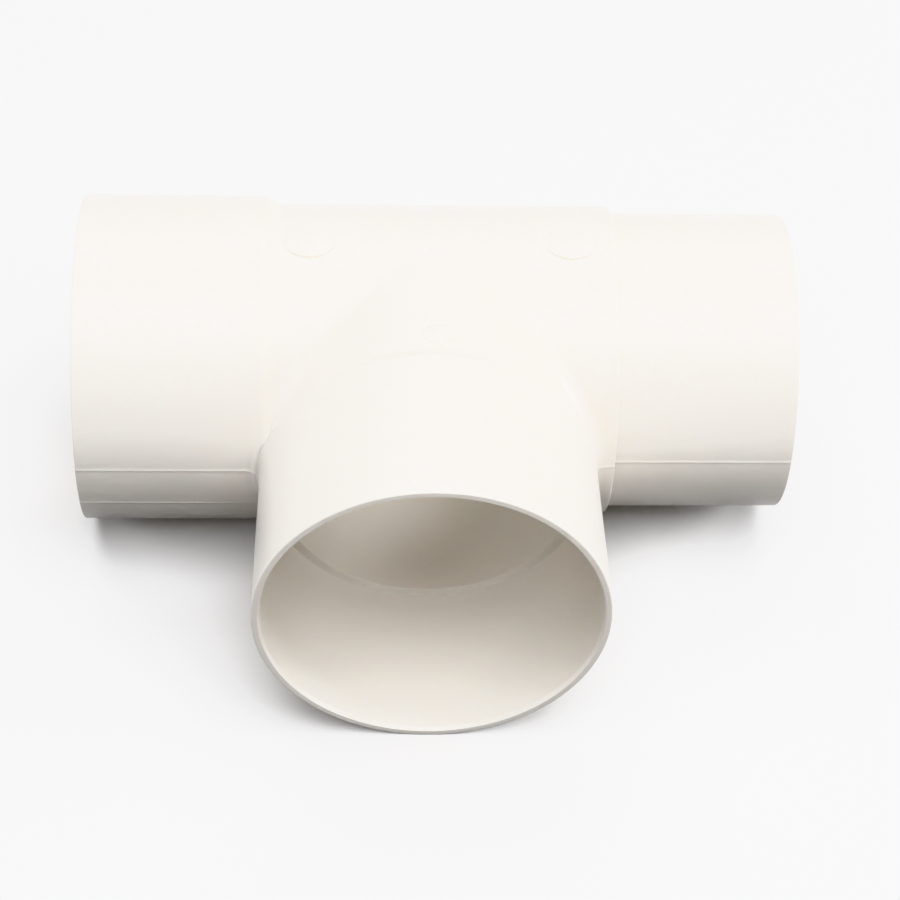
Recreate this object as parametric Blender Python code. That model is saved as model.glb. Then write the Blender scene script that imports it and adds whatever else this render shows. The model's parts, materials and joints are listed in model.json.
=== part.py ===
"""Rainwater tee for 80 mm downpipe: one PVC-U injection moulding.

The run lies along X, with a socket at its -X end and a reduced spigot at its +X end.
The branch points along -Y and ends in a second socket. The mould's parting plane is level
and holds all three axes. The fitting lies on its side, as on a bench, so +Z is up.
The frame's origin is under the middle of the fitting, on the surface it lies on.
"""

import math

import bmesh
import bpy
from mathutils import Matrix, Vector

MM = 0.001

# Pipe system
PIPE_OD = 80.0 * MM
PIPE_WALL = 1.5 * MM

# Sockets: a pipe end goes in as far as the stop
SOCKET_DEPTH = 44.2 * MM
SOCKET_WALL = 2.0 * MM
SOCKET_CLEARANCE = 0.05 * MM
RUN_DRAFT = 0.15 * MM
BRANCH_DRAFT = 0.85 * MM
LEAD_IN = 0.5 * MM
LEAD_IN_DEPTH = 1.0 * MM
STOP_TO_SLOPE = 2.8 * MM
SLOPE_LENGTH = 4.5 * MM

# Spigot: goes inside a pipe or a socket as far as the shoulder
SPIGOT_LENGTH = 45.0 * MM
SPIGOT_WALL = 1.9 * MM
SPIGOT_CLEARANCE = 0.2 * MM
SPIGOT_TAPER = 0.1 * MM
BORE_TAPER_LENGTH = 5.0 * MM

# Body
BODY_WALL = 2.0 * MM
BRANCH_STEP_IN = 0.2 * MM
CROTCH_FILLET = 5.0 * MM
FLANK_TO_RUN_STOP = 4.0 * MM
FLANK_TO_SHOULDER = 7.2 * MM
RUN_TO_BRANCH_STOP = 7.3 * MM
EDGE_ROUND = 0.4 * MM

# Flat round pads that the mould's inserts and its gate leave on the upper side
PAD_RADIUS = 6.4 * MM
GATE_RADIUS = 3.8 * MM
PAD_PROUD = 0.05 * MM
PAD_TO_SLOPE = 6.5 * MM
PAD_TO_SHOULDER = 11.4 * MM
GATE_TO_STOP = 12.8 * MM

# Mesh
ROUND_STEPS = 72
PAD_STEPS = 32
FILLET_STATIONS = 37
FILLET_STEPS = 5
FILLET_RUN_OUT = math.radians(13)
FILLET_PROUD = 0.03 * MM
EDGE_STEPS = 3
CUTTER_OVERRUN = 3.0 * MM
WELD_DISTANCE = 0.005 * MM

# Radii that follow from the pipe
body_radius = PIPE_OD / 2
branch_radius = body_radius - BRANCH_STEP_IN
run_bore = body_radius - BODY_WALL
branch_bore = branch_radius - BODY_WALL
socket_bore = PIPE_OD / 2 + SOCKET_CLEARANCE
socket_radius = socket_bore + SOCKET_WALL
run_mouth_radius = socket_radius + RUN_DRAFT
branch_mouth_radius = socket_radius + BRANCH_DRAFT
spigot_radius = PIPE_OD / 2 - PIPE_WALL - SPIGOT_CLEARANCE
spigot_bore = spigot_radius - SPIGOT_WALL

# Distances from the point where the run's and the branch's axes cross
run_stop = branch_radius + FLANK_TO_RUN_STOP
run_mouth = run_stop + SOCKET_DEPTH
branch_stop = body_radius + RUN_TO_BRANCH_STOP
branch_mouth = branch_stop + SOCKET_DEPTH
shoulder = branch_radius + FLANK_TO_SHOULDER
spigot_end = shoulder + SPIGOT_LENGTH

# The crossing point in the part's frame: the fitting's box is centred over the origin
crossing = Vector((
    (run_mouth - spigot_end) / 2,
    (branch_mouth - run_mouth_radius) / 2,
    branch_mouth_radius,
))

ALONG_RUN = Matrix.Rotation(math.radians(90), 4, "Y")
ALONG_BRANCH = Matrix.Rotation(math.radians(90), 4, "X")


def clear_scene():
    for old in list(bpy.data.objects):
        bpy.data.objects.remove(old, do_unlink=True)


def rounded(corner, before, after, radius, steps=EDGE_STEPS):
    """Points of a rounded convex corner of an outline, from the before side to the after side."""
    corner = Vector(corner)
    to_before = (Vector(before) - corner).normalized()
    to_after = (Vector(after) - corner).normalized()
    half = to_before.angle(to_after) / 2
    reach = radius / math.tan(half)
    centre = corner + (to_before + to_after).normalized() * (radius / math.sin(half))
    first = corner + to_before * reach - centre
    last = corner + to_after * reach - centre
    # slerp gives unit vectors
    return [tuple(centre + radius * first.slerp(last, step / steps)) for step in range(steps + 1)]


def mesh_object(name, mesh, place=Matrix.Identity(4)):
    made = bpy.data.objects.new(name, mesh)
    bpy.context.scene.collection.objects.link(made)
    made.matrix_world = Matrix.Translation(crossing) @ place
    return made


def turned(name, outline, place, around=ROUND_STEPS):
    """A solid of revolution with flat ends. The outline is a list of (distance, radius) points."""
    shape = bmesh.new()
    outline = [(outline[0][0], 0), *outline, (outline[-1][0], 0)]
    rings = []
    for distance, radius in outline:
        count = around if radius > 0 else 1
        turns = [math.tau * step / around for step in range(count)]
        rings.append([
            shape.verts.new((radius * math.cos(turn), radius * math.sin(turn), distance))
            for turn in turns
        ])
    for lower, upper in zip(rings, rings[1:]):
        for step in range(around):
            after = (step + 1) % around
            corners = [
                lower[step % len(lower)],
                lower[after % len(lower)],
                upper[after % len(upper)],
                upper[step % len(upper)],
            ]
            shape.faces.new(list(dict.fromkeys(corners)))
    bmesh.ops.recalc_face_normals(shape, faces=shape.faces)
    mesh = bpy.data.meshes.new(name)
    shape.to_mesh(mesh)
    shape.free()
    return mesh_object(name, mesh, place)


def helper(made):
    """Marks a blank or a cutter that only feeds the booleans."""
    made.hide_render = True
    made.display_type = "WIRE"
    return made


def socket_outline(mouth, stop, mouth_radius, neck_radius):
    """The outside of a socket, from its mouth to the end of the slope behind its stop."""
    slope_start = stop - STOP_TO_SLOPE
    slope_end = slope_start - SLOPE_LENGTH
    return [
        *rounded((mouth, mouth_radius), (mouth, 0), (slope_start, socket_radius), EDGE_ROUND),
        (slope_start, socket_radius),
        (slope_end, neck_radius),
    ]


def socket_cut(mouth, stop, draft, bore):
    """The inside of a socket, from past its mouth to its stop, then on down the bore."""
    lead_in = socket_bore + draft
    return [
        (mouth + CUTTER_OVERRUN, lead_in + LEAD_IN),
        (mouth, lead_in + LEAD_IN),
        (mouth - LEAD_IN_DEPTH, lead_in),
        (stop, socket_bore),
        (stop, bore),
    ]


def flipped(outline):
    return [(-distance, radius) for distance, radius in outline]


def run_blank():
    """The run before it is bored: socket, body, shoulder and spigot."""
    spigot_tip = spigot_radius - SPIGOT_TAPER
    outline = [
        *flipped(socket_outline(run_mouth, run_stop, run_mouth_radius, body_radius)),
        *rounded((shoulder, body_radius), (0, body_radius), (shoulder, 0), EDGE_ROUND),
        (shoulder, spigot_radius),
        *rounded((spigot_end, spigot_tip), (shoulder, spigot_radius), (spigot_end, 0), EDGE_ROUND),
    ]
    return turned("tee_moulding", outline, ALONG_RUN)


def branch_blank():
    """The branch before it is bored, from the run's axis to its mouth."""
    outline = socket_outline(branch_mouth, branch_stop, branch_mouth_radius, branch_radius)
    outline.append((0, branch_radius))
    return helper(turned("branch_blank", outline, ALONG_BRANCH))


def run_bore_cutter():
    outline = [
        *flipped(socket_cut(run_mouth, run_stop, RUN_DRAFT, run_bore)),
        (shoulder - BORE_TAPER_LENGTH, run_bore),
        (shoulder, spigot_bore),
        (spigot_end + CUTTER_OVERRUN, spigot_bore),
    ]
    return helper(turned("run_bore_cutter", outline, ALONG_RUN))


def branch_bore_cutter():
    outline = socket_cut(branch_mouth, branch_stop, BRANCH_DRAFT, branch_bore)
    outline.append((0, branch_bore))
    return helper(turned("branch_bore_cutter", outline, ALONG_BRANCH))


def crotch_fillet(name, side):
    """Fills the corner between run and branch on one side of the branch.

    A ball of the fillet's radius rolls down the corner, from near the top to near the bottom, where
    the corner runs out. At each station the section is the arc between the ball's touching points,
    closed by points sunk in the walls. The arc stands a hair proud, so that it clears the facets.
    """
    shape = bmesh.new()
    run_reach = body_radius + CROTCH_FILLET
    branch_reach = branch_radius + CROTCH_FILLET
    sunk = BODY_WALL / 2
    sections = []
    for station in range(FILLET_STATIONS + 1):
        turn = FILLET_RUN_OUT + (math.pi - 2 * FILLET_RUN_OUT) * station / FILLET_STATIONS
        ball_x = side * branch_reach * math.sin(turn)
        ball_z = branch_reach * math.cos(turn)
        ball_y = -math.sqrt(run_reach**2 - ball_z**2)
        ball = Vector((ball_x, ball_y, ball_z))
        to_run = -Vector((0, ball_y, ball_z)).normalized()
        to_branch = -Vector((ball_x, 0, ball_z)).normalized()
        arc = [
            ball + (CROTCH_FILLET - FILLET_PROUD) * to_run.slerp(to_branch, step / FILLET_STEPS)
            for step in range(FILLET_STEPS + 1)
        ]
        run_foot = arc[0] + sunk * to_run
        branch_foot = arc[-1] + sunk * to_branch
        root_x = side * (branch_radius - sunk) * math.sin(turn)
        root_z = (branch_radius - sunk) * math.cos(turn)
        root = Vector((root_x, -math.sqrt((body_radius - sunk) ** 2 - root_z**2), root_z))
        sections.append([shape.verts.new(point) for point in (*arc, branch_foot, root, run_foot)])
    for section, following in zip(sections, sections[1:]):
        for corner in range(len(section)):
            beside = (corner + 1) % len(section)
            shape.faces.new((section[corner], section[beside], following[beside], following[corner]))
    shape.faces.new(sections[0])
    shape.faces.new(sections[-1])
    bmesh.ops.recalc_face_normals(shape, faces=shape.faces)
    mesh = bpy.data.meshes.new(name)
    shape.to_mesh(mesh)
    shape.free()
    return helper(mesh_object(name, mesh))


def pad(name, along_x, along_y, wall_top, radius):
    """A round pad with a flat top, sunk in the wall under it."""
    here = Matrix.Translation((along_x, along_y, 0))
    root = wall_top - BODY_WALL / 2
    outline = [(root, radius), (wall_top + PAD_PROUD, radius)]
    return helper(turned(name, outline, here, PAD_STEPS))


def combine(target, operation, tool):
    step = target.modifiers.new(f"{operation.lower()} {tool.name}", "BOOLEAN")
    step.operation = operation
    step.solver = "EXACT"
    step.object = tool
    tidy = target.modifiers.new(f"weld after {tool.name}", "WELD")
    tidy.merge_threshold = WELD_DISTANCE


def pvc():
    material = bpy.data.materials.new("white_pvc")
    material.use_nodes = True
    shader = material.node_tree.nodes["Principled BSDF"]
    shader.inputs["Base Color"].default_value = (0.83, 0.80, 0.75, 1)
    shader.inputs["Roughness"].default_value = 0.3
    shader.inputs["Metallic"].default_value = 0
    return material


def build():
    clear_scene()
    tee = run_blank()
    slope_end = run_stop - STOP_TO_SLOPE - SLOPE_LENGTH
    additions = [
        branch_blank(),
        crotch_fillet("left_crotch_fillet", -1),
        crotch_fillet("right_crotch_fillet", 1),
        pad("socket_pad", PAD_TO_SLOPE - slope_end, 0, body_radius, PAD_RADIUS),
        pad("spigot_pad", shoulder - PAD_TO_SHOULDER, 0, body_radius, PAD_RADIUS),
        pad("gate_pad", 0, GATE_TO_STOP - branch_stop, branch_radius, GATE_RADIUS),
    ]
    for addition in additions:
        combine(tee, "UNION", addition)
    combine(tee, "DIFFERENCE", run_bore_cutter())
    combine(tee, "DIFFERENCE", branch_bore_cutter())
    tee.data.materials.append(pvc())
    tee.data.shade_smooth()
    tee.data.set_sharp_from_angle(angle=math.radians(30))


build()
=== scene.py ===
import json
import math

import bmesh
import bpy
import numpy as np
from mathutils import Matrix, Vector


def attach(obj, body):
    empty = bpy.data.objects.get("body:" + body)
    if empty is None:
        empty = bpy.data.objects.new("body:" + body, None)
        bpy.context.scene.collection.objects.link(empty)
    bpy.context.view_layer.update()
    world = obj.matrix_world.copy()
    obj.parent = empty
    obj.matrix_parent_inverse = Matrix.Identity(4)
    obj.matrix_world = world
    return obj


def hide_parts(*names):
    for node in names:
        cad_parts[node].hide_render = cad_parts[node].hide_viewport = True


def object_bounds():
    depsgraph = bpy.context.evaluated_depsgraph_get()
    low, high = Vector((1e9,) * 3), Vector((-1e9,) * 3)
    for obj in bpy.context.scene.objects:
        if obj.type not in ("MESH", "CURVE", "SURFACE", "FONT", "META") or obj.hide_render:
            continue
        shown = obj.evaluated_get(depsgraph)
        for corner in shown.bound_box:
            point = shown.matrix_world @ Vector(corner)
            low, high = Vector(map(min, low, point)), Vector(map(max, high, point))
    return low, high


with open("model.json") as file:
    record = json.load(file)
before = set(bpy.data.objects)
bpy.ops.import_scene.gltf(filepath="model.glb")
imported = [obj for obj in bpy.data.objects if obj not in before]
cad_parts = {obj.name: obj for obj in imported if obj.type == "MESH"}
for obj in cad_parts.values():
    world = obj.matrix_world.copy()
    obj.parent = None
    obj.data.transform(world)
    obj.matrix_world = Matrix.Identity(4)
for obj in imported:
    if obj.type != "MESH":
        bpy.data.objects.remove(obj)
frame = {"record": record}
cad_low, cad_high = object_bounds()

# ---------------------------------------------------------------- run: socket, body and spigot
# The straight way through the tee: rigid off-white PVC-U, moulded in one shot with the branch.
# A steel core pulled out at each end leaves the bores, and two mould halves leave the outside.
MM = 0.001
FLASH_HEIGHT = 0.08 * MM
BODY_RADIUS = 40.0 * MM
BODY_BORE = 38.0 * MM
SOCKET_RADIUS = 42.0 * MM
SOCKET_BORE = 40.05 * MM
SPIGOT_RADIUS = 38.3 * MM
SPIGOT_BORE = 36.4 * MM
SPIGOT_TAPER = 0.1 * MM
BORE_TAPER = 5.0 * MM
STOP_TO_SLOPE = 2.8 * MM
SLOPE_LENGTH = 3.4 * MM
SLOPE_FOOT_ROUND = 4.5 * MM
SLOPE_TOP_ROUND = 0.9 * MM
RIM_ROUND = 0.45 * MM
SHOULDER_ROUND = 0.4 * MM
LEAD_IN = 0.5 * MM
LEAD_IN_DEPTH = 1.0 * MM
LEAD_IN_ROUND = 0.3 * MM
INSIDE_RIM_ROUND = 0.1 * MM
STOP_ROUND = 0.25 * MM
STOP_FOOT_ROUND = 0.3 * MM
SHOULDER_FOOT_ROUND = 0.15 * MM
BORE_TAPER_ROUND = 2.0 * MM
SPIGOT_LEAD_IN = 0.5 * MM
RIM_FLAT = 0.3 * MM
RIM_WALL = 2.1 * MM
ROUNDING_STEP = math.radians(11)
NEARLY_STRAIGHT = math.radians(89.9)
OUTSIDE_FINE = 0.8 * MM
OUTSIDE_FINE_REACH = 50 * MM
INSIDE_FINE = 1.6 * MM
INSIDE_FINE_REACH = 45 * MM
COARSE = 4.0 * MM

seats = {mount["name"]: Vector(mount["pos_m"]) for mount in frame["record"]["mounts"]}
crossing = Vector((
    seats["branch_socket_rim"].x,
    seats["run_socket_rim"].y,
    (cad_low[2] + cad_high[2]) / 2,
))
run_mouth = crossing.x - cad_low[0]
run_stop = crossing.x - seats["run_pipe_stop"].x
shoulder = seats["spigot_shoulder"].x - crossing.x
spigot_end = cad_high[0] - crossing.x
run_mouth_radius = cad_high[1] - crossing.y - FLASH_HEIGHT


def outline(corners, widest):
    """Points along a wall's section. Each corner is (distance, radius, rounding)."""
    places = [np.array(corner[:2], float) for corner in corners]
    points = [places[0]]
    for before, here, after, corner in zip(places, places[1:], places[2:], corners[1:]):
        rounding = corner[2]
        back = (before - here) / np.linalg.norm(before - here)
        ahead = (after - here) / np.linalg.norm(after - here)
        half = math.acos(np.clip(back @ ahead, -1, 1)) / 2
        if rounding == 0 or half > NEARLY_STRAIGHT:
            points.append(here)
            continue
        reach = rounding / math.tan(half)
        steps = max(3, round((math.pi - 2 * half) / ROUNDING_STEP))
        for step in range(steps + 1):
            # A quadratic curve that leaves and meets the straight parts smoothly
            part = step / steps
            points.append(
                (1 - part) ** 2 * (here + back * reach)
                + 2 * part * (1 - part) * here
                + part**2 * (here + ahead * reach)
            )
    points.append(places[-1])
    filled = [points[0]]
    for start, end in zip(points, points[1:]):
        pieces = max(1, math.ceil(np.linalg.norm(end - start) / widest(start)))
        filled += [start + (end - start) * step / pieces for step in range(1, pieces + 1)]
    return np.array(filled)


def outside_spacing(point):
    """Rows are closest where run and branch meet."""
    return OUTSIDE_FINE if abs(point[0]) < OUTSIDE_FINE_REACH else COARSE


def inside_spacing(point):
    return INSIDE_FINE if abs(point[0]) < INSIDE_FINE_REACH else COARSE


def socket_outside(mouth, stop, mouth_radius, neck_radius):
    """From the rim's flat to the middle of the fitting, as distances from the crossing."""
    slope = stop - STOP_TO_SLOPE
    return [
        (mouth, mouth_radius - RIM_ROUND - RIM_FLAT, 0),
        (mouth, mouth_radius, RIM_ROUND),
        (slope, SOCKET_RADIUS, SLOPE_TOP_ROUND),
        (slope - SLOPE_LENGTH, neck_radius, SLOPE_FOOT_ROUND),
        (0, neck_radius, 0),
    ]


def socket_inside(mouth, stop, mouth_bore, bore):
    """From the rim's inner edge past the lead-in and the stop to the middle of the fitting."""
    return [
        (mouth, mouth_bore + LEAD_IN + RIM_FLAT / 2, 0),
        (mouth, mouth_bore + LEAD_IN, INSIDE_RIM_ROUND),
        (mouth - LEAD_IN_DEPTH, mouth_bore, LEAD_IN_ROUND),
        (stop, SOCKET_BORE, STOP_FOOT_ROUND),
        (stop, bore, STOP_ROUND),
        (0, bore, 0),
    ]


def mirrored(corners):
    """The same outline on the run's socket side."""
    return [(-distance, *rest) for distance, *rest in corners]


run_left = outline(
    mirrored(socket_outside(run_mouth, run_stop, run_mouth_radius, BODY_RADIUS)), outside_spacing
)
run_right = outline([
    (0, BODY_RADIUS, 0),
    (shoulder, BODY_RADIUS, SHOULDER_ROUND),
    (shoulder, SPIGOT_RADIUS, SHOULDER_FOOT_ROUND),
    (spigot_end, SPIGOT_RADIUS - SPIGOT_TAPER, RIM_ROUND),
    (spigot_end, SPIGOT_RADIUS - SPIGOT_TAPER - RIM_ROUND - RIM_FLAT, 0),
], outside_spacing)
bore_left = outline(
    mirrored(socket_inside(run_mouth, run_stop, run_mouth_radius - RIM_WALL, BODY_BORE)),
    inside_spacing,
)
bore_right = outline([
    (0, BODY_BORE, 0),
    (shoulder - BORE_TAPER, BODY_BORE, BORE_TAPER_ROUND),
    (shoulder, SPIGOT_BORE, BORE_TAPER_ROUND),
    (spigot_end, SPIGOT_BORE, LEAD_IN_ROUND),
    (spigot_end, SPIGOT_BORE + SPIGOT_LEAD_IN, 0),
], inside_spacing)

# ---------------------------------------------------------------- branch
# The same PVC-U. Its own core leaves a socket that opens slightly towards the mouth, and a ledge
# inside that stops the pipe.
BRANCH_RADIUS = 39.8 * MM
BRANCH_BORE = 37.8 * MM

branch_mouth = crossing.y - cad_low[1]
branch_stop = crossing.y - seats["branch_pipe_stop"].y
branch_mouth_radius = (cad_high[2] - cad_low[2]) / 2
branch = outline(
    socket_outside(branch_mouth, branch_stop, branch_mouth_radius, BRANCH_RADIUS), outside_spacing
)
branch_bore = outline(
    socket_inside(branch_mouth, branch_stop, branch_mouth_radius - RIM_WALL, BRANCH_BORE),
    inside_spacing,
)

# ---------------------------------------------------------------- moulded shell
# Run and branch are one wall about 2 mm thick. Outside, the corner between them is a soft 5.5 mm
# fillet that fades out at the top and bottom; inside, the two bores meet in a barely broken edge.
CROTCH_FILLET = 5.5 * MM
BORE_EDGE = 0.7 * MM
OUTSIDE_REACH = 46.3 * MM
INSIDE_REACH = 41.5 * MM
BRANCH_REACH = 49.0 * MM
BRANCH_INSIDE_REACH = 45.0 * MM
FLASH_HALF_WIDTH = 0.12 * MM
FLASH_FOOT = 0.3 * MM
HAIR = 0.01 * MM
MOST_ALIKE = 0.99999
LEAST_SQUARE = 1e-18
SETTLING_PASSES = 10
COLUMN_STEP = math.radians(1.5)
SECOND_LINE = math.radians(199)


def columns(start, end, lines):
    """Angles from start to end, crowded where a mould line runs along the wall."""
    count = round(abs(end - start) / COLUMN_STEP)
    angles = list(np.linspace(start, end, count + 1))
    for line in lines:
        widths = (-FLASH_FOOT, FLASH_FOOT, -FLASH_HALF_WIDTH, FLASH_HALF_WIDTH)
        feet = [width / BODY_RADIUS for width in widths]
        clear = 2 * FLASH_FOOT / BODY_RADIUS
        angles = [angle for angle in angles if abs(angle - line) > clear]
        angles += [line, *(line + foot for foot in feet)]
    return np.array(sorted(angles, reverse=end < start))


left_turns = columns(math.radians(90), math.radians(270), [math.pi, SECOND_LINE])
right_turns = columns(math.radians(90), math.radians(-90), [0])


def wall(points, along, section):
    """Distance of each point from a turned wall, and the direction straight out from its axis."""
    radius = np.interp(np.abs(points[:, along]), *section)
    away = points.copy()
    away[:, along] = 0
    from_axis = np.linalg.norm(away, axis=1)
    return from_axis - radius, away / from_axis[:, None]


def section_of(rows, reach):
    """Distances and radii of the part of an outline within reach of the crossing."""
    kept = rows[np.abs(rows[:, 0]) < reach]
    kept = kept[np.argsort(np.abs(kept[:, 0]), kind="stable")]
    return np.abs(kept[:, 0]), kept[:, 1]


def blended(points, sections, fillet):
    """Distance from run and branch with the corner between them filled, and where it is filled."""
    left, right, side = sections
    left_far, run_out = wall(points, 0, left)
    right_far, _ = wall(points, 0, right)
    run_far = np.where(points[:, 0] > 0, right_far, left_far)
    branch_far, branch_out = wall(points, 1, side)
    facing = np.clip(np.sum(run_out * branch_out, axis=1), -MOST_ALIKE, MOST_ALIKE)
    spread = 1 - facing**2
    run_depth = run_far - fillet
    branch_depth = branch_far - fillet
    run_share = (run_depth - facing * branch_depth) / spread
    branch_share = (branch_depth - facing * run_depth) / spread
    square = run_depth * run_share + branch_depth * branch_share
    reach = np.sqrt(np.maximum(square, LEAST_SQUARE))
    filled = (run_share < 0) & (branch_share < 0)
    return np.where(filled, fillet - reach, np.minimum(run_far, branch_far)), filled


def outward(points, sections, fillet):
    """The direction straight out of the blended wall at each point, and how fast distance grows."""
    growth = np.empty_like(points)
    for axis in range(3):
        step = np.zeros(3)
        step[axis] = HAIR
        ahead, _ = blended(points + step, sections, fillet)
        behind, _ = blended(points - step, sections, fillet)
        growth[:, axis] = ahead - behind
    growth /= 2 * HAIR
    rate = np.linalg.norm(growth, axis=1)
    return growth / rate[:, None], rate


def shell(left, right, side, fillet, reach, side_reach):
    """One skin of the tee as a grid of four patches: points, faces and the three open rings.

    The back of the run goes all the way along. Its front stops at the branch on either side, and
    the branch's rows end on the same points.
    """
    run_radius = left[-1, 1]
    side_radius = side[-1, 1]
    saddle = math.asin(side_radius / run_radius)
    whole = np.concatenate([left, right[1:]])
    middle = len(left) - 1
    back_turns = columns(saddle, math.tau - saddle, [math.pi])
    points = []

    def add(rows):
        """Keeps a grid of points and gives their numbers."""
        start = sum(len(block) for block in points)
        points.append(rows.reshape(-1, 3))
        return start + np.arange(rows.shape[0] * rows.shape[1]).reshape(rows.shape[:2])

    def around_run(distance, radius, turns):
        grid = np.empty((*np.broadcast(distance, radius, turns).shape, 3))
        grid[..., 0] = distance
        grid[..., 1] = -radius * np.cos(turns)
        grid[..., 2] = radius * np.sin(turns)
        return grid

    back = add(around_run(whole[:, :1], whole[:, 1:], back_turns[None, :]))

    def front(section, turns, hand, top, bottom):
        """One side of the run's front, trimmed to the branch. Its rows start at the open end."""
        run_turns = np.arcsin(np.clip(side_radius * np.sin(turns) / run_radius, -1, 1))
        trimmed = side_radius * np.abs(np.cos(turns))
        distance = np.abs(section[:, :1])
        near = distance < reach
        moved = np.where(near, reach - (reach - distance) * (reach - trimmed) / reach, distance)
        order = np.argsort(np.abs(section[:, 0]), kind="stable")
        radius = np.interp(moved, np.abs(section[order, 0]), section[order, 1])
        radius = np.where(near, radius, section[:, 1:])
        inner = slice(1, -1)
        grid = around_run(hand * moved[:, inner], radius[:, inner], run_turns[None, inner])
        made = add(grid)
        return np.concatenate([top[:, None], made, bottom[:, None]], axis=1)

    left_back = back[:middle + 1]
    right_back = back[middle:][::-1]
    left_front = front(left, left_turns, -1, left_back[:, 0], left_back[:, -1])
    right_front = front(right[::-1], right_turns, 1, right_back[:, 0], right_back[:, -1])

    every = np.concatenate(points)
    right_end = every[right_front[-1]]
    left_end = every[left_front[-1]]
    distance = side[:, :1]
    order = np.argsort(side[:, 0], kind="stable")

    def along_branch(turns, ends):
        """One side of the branch, ending on the run's last front row."""
        near = distance < side_reach
        squeezed = side_reach - (side_reach - distance) * (side_reach + ends[:, 1]) / side_reach
        moved = np.where(near, squeezed, distance)
        radius = np.where(near, np.interp(moved, side[order, 0], side[order, 1]), side[:, 1:])
        grid = np.empty((*moved.shape, 3))
        grid[..., 0] = radius * np.cos(turns)
        grid[..., 1] = -moved
        grid[..., 2] = radius * np.sin(turns)
        return grid[:-1]

    right_side = add(along_branch(right_turns, right_end))
    left_side = add(along_branch(left_turns, left_end)[:, 1:-1])
    left_side = np.concatenate([right_side[:, :1], left_side, right_side[:, -1:]], axis=1)
    right_side = np.concatenate([right_side, right_front[-1:]])
    left_side = np.concatenate([left_side, left_front[-1:]])

    every = np.concatenate(points)
    sections = (section_of(left, reach), section_of(right, reach), section_of(side, side_reach))
    near = (np.abs(every[:, 0]) < reach) & (every[:, 1] < 0) & (every[:, 1] > -side_reach)
    for _ in range(SETTLING_PASSES):
        far, filled = blended(every[near], sections, fillet)
        out, rate = outward(every[near], sections, fillet)
        every[near] -= np.where(filled, far / rate, 0)[:, None] * out
    out, _ = outward(every, sections, fillet)

    patches = [back, left_front, right_front, left_side, right_side]
    faces = []
    for patch in patches:
        corners = (patch[:-1, :-1], patch[1:, :-1], patch[1:, 1:], patch[:-1, 1:])
        faces.append(np.stack([corner.ravel() for corner in corners], axis=1))
    rings = [
        np.concatenate([back[0, :-1], left_front[0][::-1][:-1]]),
        np.concatenate([back[-1, :-1], right_front[0][::-1][:-1]]),
        np.concatenate([right_side[0, :-1], left_side[0][::-1][:-1]]),
    ]
    return every, out, np.concatenate(faces), rings, patches


outer, outer_out, outer_faces, outer_rings, outer_patches = shell(
    run_left, run_right, branch, CROTCH_FILLET, OUTSIDE_REACH, BRANCH_REACH
)
inner, _, inner_faces, inner_rings, _ = shell(
    bore_left, bore_right, branch_bore, BORE_EDGE, INSIDE_REACH, BRANCH_INSIDE_REACH
)

# ---------------------------------------------------------------- mould lines
# Where the two mould halves close, a fine ridge runs level along the run, round both crotches and
# along the branch's flanks. A second one under it marks an insert in the socket's mould.
FLASH_SIDE_SHARE = 0.8
SECOND_LINE_HEIGHT = 0.14 * MM
SECOND_LINE_FADE = 14.0 * MM

back, left_front, right_front, left_side, right_side = outer_patches


def raise_line(patch, turns, line, height):
    """Lifts a mould line's three middle columns. height is a number or a function of points."""
    middle = int(np.argmin(np.abs(turns - line)))
    shares = {middle - 1: FLASH_SIDE_SHARE, middle: 1.0, middle + 1: FLASH_SIDE_SHARE}
    for column, share in shares.items():
        rows = np.unique(patch[:, column])
        lift = height * share if np.isscalar(height) else height(outer[rows]) * share
        outer[rows] += np.reshape(lift, (-1, 1)) * outer_out[rows]


def second_line_height(points):
    """Full along the socket, fading out before the branch."""
    faded = np.clip((-points[:, 0] - run_stop) / SECOND_LINE_FADE, 0, 1)
    return SECOND_LINE_HEIGHT * faded


saddle_turn = math.asin(BRANCH_RADIUS / BODY_RADIUS)
back_turns = columns(saddle_turn, math.tau - saddle_turn, [math.pi])
raise_line(back, back_turns, math.pi, FLASH_HEIGHT)
raise_line(np.concatenate([left_front, left_side[:-1]]), left_turns, math.pi, FLASH_HEIGHT)
raise_line(np.concatenate([right_front, right_side[:-1]]), right_turns, 0, FLASH_HEIGHT)
raise_line(left_front, left_turns, SECOND_LINE, second_line_height)

shape = bmesh.new()
placed = [shape.verts.new(Vector(point) + crossing) for point in np.concatenate([outer, inner])]
offset = len(outer)
for corners in np.concatenate([outer_faces, inner_faces + offset]):
    shape.faces.new([placed[corner] for corner in corners])
for outer_ring, inner_ring in zip(outer_rings, inner_rings):
    for step in range(len(outer_ring)):
        after = (step + 1) % len(outer_ring)
        shape.faces.new([
            placed[outer_ring[step]],
            placed[outer_ring[after]],
            placed[inner_ring[after] + offset],
            placed[inner_ring[step] + offset],
        ])
bmesh.ops.recalc_face_normals(shape, faces=shape.faces)
shell_mesh = bpy.data.meshes.new("tee_fitting")
shape.to_mesh(shell_mesh)
shape.free()
tee = bpy.data.objects.new("tee_fitting", shell_mesh)
bpy.context.scene.collection.objects.link(tee)

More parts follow.
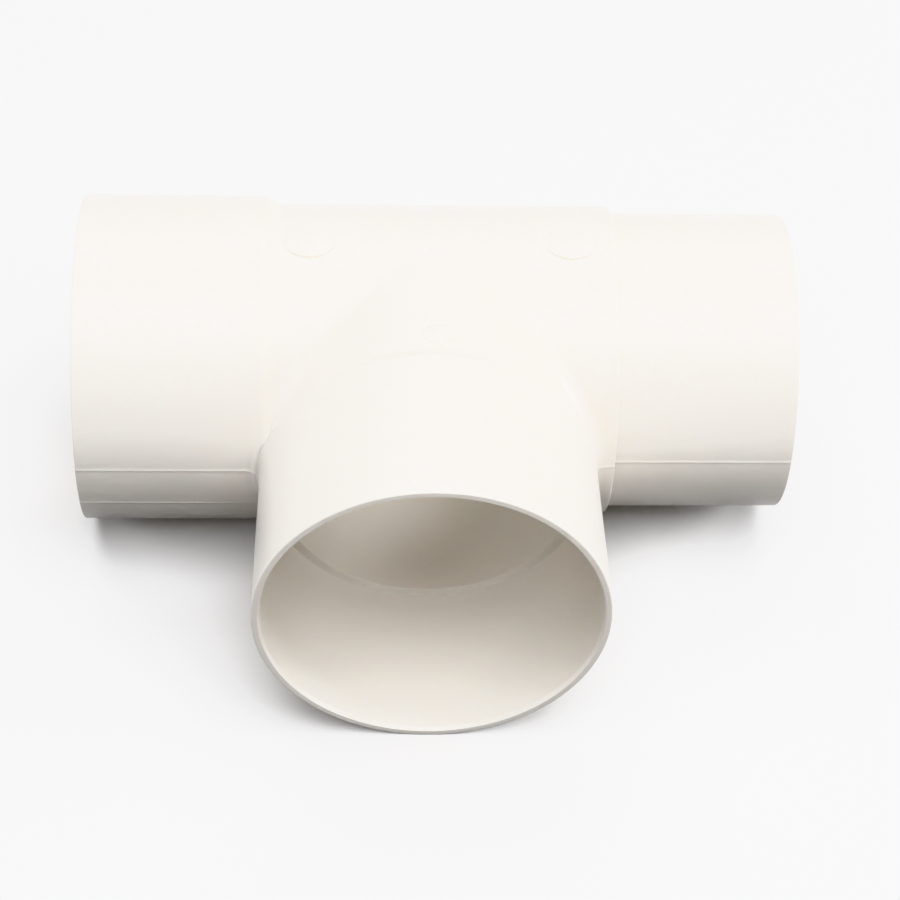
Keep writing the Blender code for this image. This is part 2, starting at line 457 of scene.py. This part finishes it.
# ---------------------------------------------------------------- insert pads and gate mark
# Round mould inserts leave two flat pads on the run's top, one by each end of the body. The gate
# left a smaller one on the branch. Each is the same plastic as the wall under it, with a fine
# groove round it.
PAD_RADIUS = 6.4 * MM
GATE_RADIUS = 3.7 * MM
PAD_PROUD = 0.04 * MM
PAD_EDGE = 0.12 * MM
EDGE_MIDDLE = 0.3
PAD_SINK = 1.0 * MM
GROOVE_INNER = 0.1 * MM
GROOVE_OUTER = 0.35 * MM
GROOVE_DEPTH = 0.12 * MM
GROOVE_OVERLAP = 0.02 * MM
PAD_STEPS = 96
PAD_TO_SLOPE = 7.6 * MM
PAD_TO_SHOULDER = 11.4 * MM
GATE_TO_STOP = 12.8 * MM
GATE_ACROSS = 1.6 * MM
SHARP_ANGLE = math.radians(32)


def pad(name, along_x, along_y, wall_top, radius):
    """A short flat-topped plug with a softened edge, sunk in the wall."""
    top = wall_top + PAD_PROUD
    section = [
        (radius, top - PAD_SINK),
        (radius, top - PAD_EDGE),
        (radius - PAD_EDGE * EDGE_MIDDLE, top - PAD_EDGE * EDGE_MIDDLE),
        (radius - PAD_EDGE, top),
    ]
    plug = bmesh.new()
    rings = []
    for distance, height in section:
        turns = [math.tau * step / PAD_STEPS for step in range(PAD_STEPS)]
        rings.append([
            plug.verts.new(crossing + Vector((
                along_x + distance * math.cos(turn), along_y + distance * math.sin(turn), height
            )))
            for turn in turns
        ])
    for lower, upper in zip(rings, rings[1:]):
        for step in range(PAD_STEPS):
            after = (step + 1) % PAD_STEPS
            plug.faces.new((lower[step], lower[after], upper[after], upper[step]))
    plug.faces.new(rings[0][::-1])
    plug.faces.new(rings[-1])
    bmesh.ops.recalc_face_normals(plug, faces=plug.faces)
    mesh = bpy.data.meshes.new(name)
    plug.to_mesh(mesh)
    plug.free()
    made = bpy.data.objects.new(name, mesh)
    bpy.context.scene.collection.objects.link(made)
    return made


def groove(name, along_x, along_y, wall_radius, radius):
    """A fine V-shaped ring that follows the round wall, where the insert met the mould."""
    ring = bmesh.new()
    on_run = wall_radius == BODY_RADIUS
    section = [
        (radius - GROOVE_INNER, GROOVE_OVERLAP),
        (radius, -GROOVE_DEPTH),
        (radius + GROOVE_OUTER, GROOVE_OVERLAP),
    ]
    rows = []
    for step in range(PAD_STEPS):
        # Half a step round from the plug, so that no two corners fall together
        turn = math.tau * (step + 0.5) / PAD_STEPS
        row = []
        for distance, lift in section:
            x = along_x + distance * math.cos(turn)
            y = along_y + distance * math.sin(turn)
            from_axis = y if on_run else x
            height = math.sqrt(wall_radius**2 - from_axis**2) + lift
            row.append(ring.verts.new(crossing + Vector((x, y, height))))
        rows.append(row)
    for step in range(PAD_STEPS):
        here = rows[step]
        after = rows[(step + 1) % PAD_STEPS]
        for side in range(3):
            ring.faces.new((here[side], after[side], after[(side + 1) % 3], here[(side + 1) % 3]))
    bmesh.ops.recalc_face_normals(ring, faces=ring.faces)
    mesh = bpy.data.meshes.new(name)
    ring.to_mesh(mesh)
    ring.free()
    made = bpy.data.objects.new(name, mesh)
    bpy.context.scene.collection.objects.link(made)
    return made


slope_end = run_stop - STOP_TO_SLOPE - SLOPE_LENGTH
marks = [
    ("socket_pad", PAD_TO_SLOPE - slope_end, 0, BODY_RADIUS, PAD_RADIUS),
    ("spigot_pad", shoulder - PAD_TO_SHOULDER, 0, BODY_RADIUS, PAD_RADIUS),
    ("gate_mark", GATE_ACROSS, GATE_TO_STOP - branch_stop, BRANCH_RADIUS, GATE_RADIUS),
]
plugs = [pad(*mark) for mark in marks]
grooves = [groove(f"{name}_edge", *place) for name, *place in marks]
for helper in grooves + plugs:
    boolean = tee.modifiers.new(helper.name, "BOOLEAN")
    boolean.operation = "DIFFERENCE" if helper in grooves else "UNION"
    boolean.solver = "MANIFOLD"
    boolean.object = helper
bpy.context.view_layer.update()
finished = tee.evaluated_get(bpy.context.evaluated_depsgraph_get())
joined = bpy.data.meshes.new_from_object(finished)
tee.modifiers.clear()
tee.data = joined
for helper in grooves + plugs:
    bpy.data.objects.remove(helper, do_unlink=True)
tee.data.shade_smooth()
tee.data.set_sharp_from_angle(angle=SHARP_ANGLE)

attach(tee, "root")
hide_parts("tee_moulding")


# ---------------------------------------------------------------- off-white PVC-U
# Rigid PVC coloured off-white all through, semi-gloss as it left a polished mould: a faint orange
# peel, slightly duller patches from handling, and hardly any change of colour.
class Signal:
    """A node's output. Arithmetic on it adds Math nodes."""

    def __init__(self, tree, socket=None):
        self.tree = tree
        self.socket = socket

    def node(self, kind, settings=None, sockets=None, output=0):
        made = self.tree.nodes.new(kind)
        for name, value in (settings or {}).items():
            setattr(made, name, value)
        for name, value in (sockets or {}).items():
            if isinstance(value, Signal):
                self.tree.links.new(value.socket, made.inputs[name])
            else:
                made.inputs[name].default_value = value
        return Signal(self.tree, made.outputs[output] if len(made.outputs) else None)

    def maths(self, operation, first, second):
        return self.node("ShaderNodeMath", {"operation": operation}, {0: first, 1: second})

    def __add__(self, other):
        return self.maths("ADD", self, other)

    def __radd__(self, other):
        return self.maths("ADD", other, self)

    def __mul__(self, other):
        return self.maths("MULTIPLY", self, other)

    def __rmul__(self, other):
        return self.maths("MULTIPLY", other, self)


pvc = bpy.data.materials.new("white_pvc")
pvc.use_nodes = True
pvc.node_tree.nodes.clear()
sheet = Signal(pvc.node_tree)
place = sheet.node("ShaderNodeTexCoord", output="Object")
cloudy = sheet.node(
    "ShaderNodeTexNoise", {}, {"Vector": place, "Scale": 18.0, "Detail": 3.0}, "Fac"
)
handled = sheet.node(
    "ShaderNodeTexNoise", {}, {"Vector": place, "Scale": 55.0, "Detail": 5.0}, "Fac"
)
peel = sheet.node(
    "ShaderNodeTexNoise", {}, {"Vector": place, "Scale": 420.0, "Detail": 2.0}, "Fac"
)
colour = sheet.node(
    "ShaderNodeMix",
    {"data_type": "RGBA"},
    {"Factor": cloudy, 6: (0.886, 0.834, 0.742, 1), 7: (0.898, 0.848, 0.762, 1)},
    2,
)
surface = sheet.node(
    "ShaderNodeBump", {}, {"Strength": 0.05, "Distance": 0.0004, "Height": peel}
)
shader = sheet.node(
    "ShaderNodeBsdfPrincipled",
    {},
    {
        "Base Color": colour,
        "Roughness": 0.24 + handled * 0.12,
        "Normal": surface,
        "IOR": 1.53,
        "Subsurface Weight": 0.2,
        "Subsurface Radius": (1.0, 0.82, 0.58),
        "Subsurface Scale": 0.0015,
    },
)
sheet.node("ShaderNodeOutputMaterial", {}, {"Surface": shader})
tee.data.materials.clear()
tee.data.materials.append(pvc)

# ---------------------------------------------------------------- table, light and camera
# A plain white table top under six soft lamps: one over the front, one over the back, one off
# each end of the run to reach into the bores, and a weak one off each front corner.
FLOOR_SIZE = 6.0
LAMP_COLOUR = (0.965, 0.99, 1.06)
floor_mesh = bpy.data.meshes.new("floor")
floor_shape = bmesh.new()
bmesh.ops.create_grid(floor_shape, x_segments=1, y_segments=1, size=FLOOR_SIZE / 2)
floor_shape.to_mesh(floor_mesh)
floor_shape.free()
floor = bpy.data.objects.new("floor", floor_mesh)
bpy.context.scene.collection.objects.link(floor)
table = bpy.data.materials.new("table_top")
table.use_nodes = True
table_shader = table.node_tree.nodes["Principled BSDF"]
table_shader.inputs["Base Color"].default_value = (0.93, 0.905, 0.86, 1)
table_shader.inputs["Roughness"].default_value = 0.9
floor_mesh.materials.append(table)
# The table is bright to look at, but throws no light up under the fitting
floor.visible_diffuse = False


def softbox(name, place, width, height, power):
    """A rectangular lamp aimed at the middle of the fitting."""
    light = bpy.data.lights.new(name, "AREA")
    light.shape = "RECTANGLE"
    light.size = width
    light.size_y = height
    light.energy = power
    light.color = LAMP_COLOUR
    lamp = bpy.data.objects.new(name, light)
    lamp.location = place
    lamp.rotation_euler = (crossing - Vector(place)).to_track_quat("-Z", "Y").to_euler()
    bpy.context.scene.collection.objects.link(lamp)


softbox("key_light", (0.12, -0.44, 1.22), 1.1, 1.0, 20)
softbox("back_light", (-0.10, 0.65, 1.10), 1.2, 0.8, 9)
softbox("right_light", (1.10, 0.02, 0.45), 0.5, 0.4, 10)
softbox("left_light", (-1.10, 0.02, 0.45), 0.5, 0.4, 2.5)
softbox("right_front_light", (0.90, -0.75, 0.75), 0.5, 0.5, 2.0)
softbox("left_front_light", (-0.90, -0.75, 0.75), 0.5, 0.5, 2.4)

world = bpy.data.worlds.new("studio")
world.use_nodes = True
world.node_tree.nodes.clear()
room = Signal(world.node_tree)
direction = room.node("ShaderNodeTexCoord", output="Generated")
upward = room.node("ShaderNodeSeparateXYZ", {}, {"Vector": direction}, "Z")
height = room.node(
    "ShaderNodeMapRange",
    {"interpolation_type": "SMOOTHSTEP"},
    {"Value": upward, "From Min": -0.05, "From Max": 0.5},
)
walls = room.node(
    "ShaderNodeMix",
    {"data_type": "RGBA"},
    {"Factor": height, 6: (0.024, 0.021, 0.017, 1), 7: (0.19, 0.19, 0.19, 1)},
    2,
)
backdrop = room.node("ShaderNodeBackground", {}, {"Color": walls})
room.node("ShaderNodeOutputWorld", {}, {"Surface": backdrop})
bpy.context.scene.world = world
bpy.context.scene.view_settings.view_transform = "Khronos PBR Neutral"

# The camera looks down from the front, a little from the left and slightly rolled
CAMERA_DISTANCE = 678.7 * MM
CAMERA_LIFT = math.radians(44.47)
CAMERA_TURN = math.radians(-3.08)
CAMERA_ROLL = math.radians(2.42)
AIM_ACROSS = 7.47 * MM
AIM_DOWN = 23.72 * MM
SENSOR = 36.0
LENS = 103.75

camera_data = bpy.data.cameras.new("camera")
camera_data.sensor_width = SENSOR
camera_data.lens = LENS
camera = bpy.data.objects.new("camera", camera_data)
turned = Matrix.Rotation(CAMERA_TURN, 4, "Z")
level = turned @ Matrix.Rotation(math.radians(90) - CAMERA_LIFT, 4, "X")
aim = crossing + level.to_3x3() @ Vector((AIM_ACROSS, -AIM_DOWN, CAMERA_DISTANCE))
camera.matrix_world = Matrix.Translation(aim) @ level @ Matrix.Rotation(CAMERA_ROLL, 4, "Z")
bpy.context.scene.collection.objects.link(camera)
bpy.context.scene.camera = camera

bpy.context.view_layer.update()
